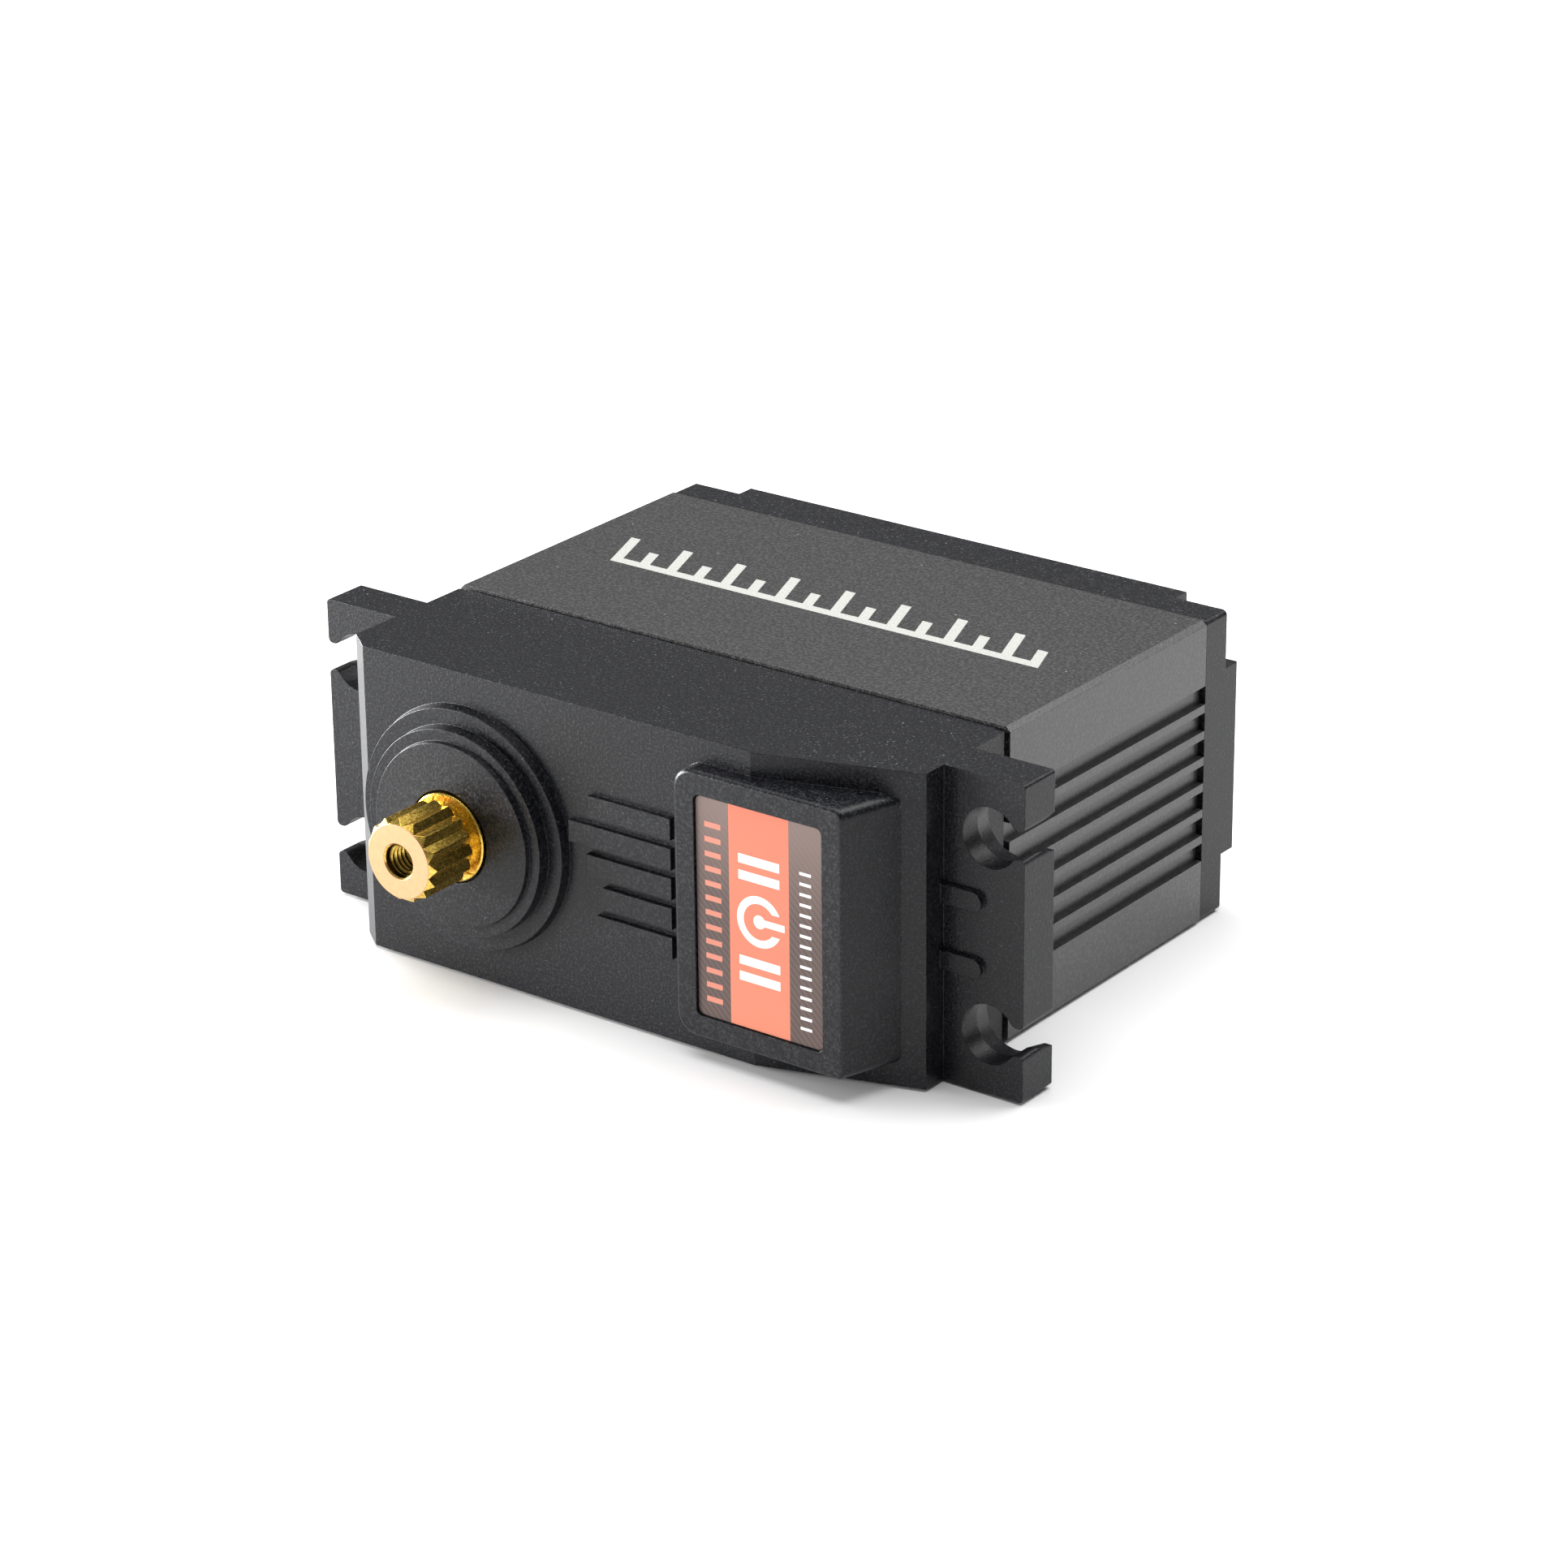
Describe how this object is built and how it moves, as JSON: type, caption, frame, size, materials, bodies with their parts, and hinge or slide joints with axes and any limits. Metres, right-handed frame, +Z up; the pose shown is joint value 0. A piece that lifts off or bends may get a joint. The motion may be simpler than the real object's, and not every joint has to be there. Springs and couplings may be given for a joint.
{
  "type": "servo motor",
  "caption": "Box-shaped servo drive lying on its side, with a toothed brass output shaft, slotted mounting ears and a ribbed metal middle case.",
  "frame": {"origin": "on the output shaft's axis, level with the main face of the gear case", "axes": "+X along the case away from the output shaft, +Y from the shaft end towards the bottom cover, +Z up across the case's thickness, the servo lying on its side"},
  "size_m": [0.0764, 0.0626, 0.0296],
  "materials": {
    "case_plastic": "fine-grained black moulded plastic",
    "cover_plastic": "fine-grained black moulded plastic",
    "case_metal": "satin black finish with a fine texture",
    "label_film": "printed film, coral red between dark end bands",
    "gasket": "black rubber",
    "screw_steel": "blackened steel",
    "shaft_brass": "machined brass",
    "gear_steel": "cut steel",
    "gear_brass": "cut brass",
    "pin_steel": "ground steel",
    "bearing_steel": "polished steel",
    "motor_steel": "plated steel",
    "magnet": "dark ferrite",
    "copper_wire": "enamelled copper",
    "bell_plastic": "black plastic",
    "terminal_metal": "tinned metal",
    "carbon": "pressed carbon",
    "pot_plastic": "blue moulded plastic",
    "board_green": "green solder mask",
    "chip_plastic": "black epoxy",
    "capacitor_sleeve": "plastic sleeve"
  },
  "bodies": {
    "case": {"gear_case": "case_plastic", "bottom_cover": "cover_plastic", "middle_case": "case_metal", "label": "label_film", "front_gasket": "gasket", "rear_gasket": "gasket", "shaft_seal": "gasket", "cable_grommet": "gasket", "case_screws": "screw_steel", "motor_screws": "screw_steel", "gear_pins": "pin_steel", "gear_sleeves": "gear_brass", "front_bearing_outer": "bearing_steel", "rear_bearing_outer": "bearing_steel", "motor_can": "motor_steel", "motor_magnets": "magnet", "motor_end_bell": "bell_plastic", "motor_terminals": "terminal_metal", "motor_brushes": "carbon", "pot_body": "pot_plastic", "pot_leads": "terminal_metal", "circuit_board": "board_green", "board_chips": "chip_plastic", "board_capacitor": "capacitor_sleeve"},
    "output": {"output_shaft": "shaft_brass", "output_gear": "gear_steel", "front_bearing_inner": "bearing_steel", "front_bearing_balls": "bearing_steel", "rear_bearing_inner": "bearing_steel", "rear_bearing_balls": "bearing_steel", "pot_shaft": "pin_steel"},
    "third": {"third_gear": "gear_steel"},
    "second": {"second_gear": "gear_steel"},
    "first": {"first_gear": "gear_brass"},
    "rotor": {"motor_shaft": "pin_steel", "motor_pinion": "gear_brass", "motor_armature": "motor_steel", "motor_windings": "copper_wire", "motor_commutator": "copper_wire"}
  },
  "joints": [
    {"name": "output_spin", "type": "hinge", "parent": "case", "child": "output", "pos_m": [0, 0, 0], "axis": [0, -1, 0], "range_deg": [-90, 90]},
    {"name": "third_spin", "type": "hinge", "parent": "case", "child": "third", "pos_m": [0.01532, 0, -0.0016], "axis": [0, -1, 0], "range_deg": [-216, 216]},
    {"name": "second_spin", "type": "hinge", "parent": "case", "child": "second", "pos_m": [0.0267, 0, 0.0022], "axis": [0, -1, 0], "range_deg": [-645, 645]},
    {"name": "first_spin", "type": "hinge", "parent": "case", "child": "first", "pos_m": [0.01532, 0, -0.0016], "axis": [0, -1, 0], "range_deg": [-2577, 2577]},
    {"name": "rotor_spin", "type": "hinge", "parent": "case", "child": "rotor", "pos_m": [0.02772, 0, -0.0018], "axis": [0, -1, 0], "range_deg": [-10732, 10732]}
  ],
  "couplings": [
    {"joint": "third_spin", "follows": "output_spin", "ratio": -2.3846},
    {"joint": "second_spin", "follows": "output_spin", "ratio": 7.1538},
    {"joint": "first_spin", "follows": "output_spin", "ratio": -28.615},
    {"joint": "rotor_spin", "follows": "output_spin", "ratio": 119.23}
  ]
}
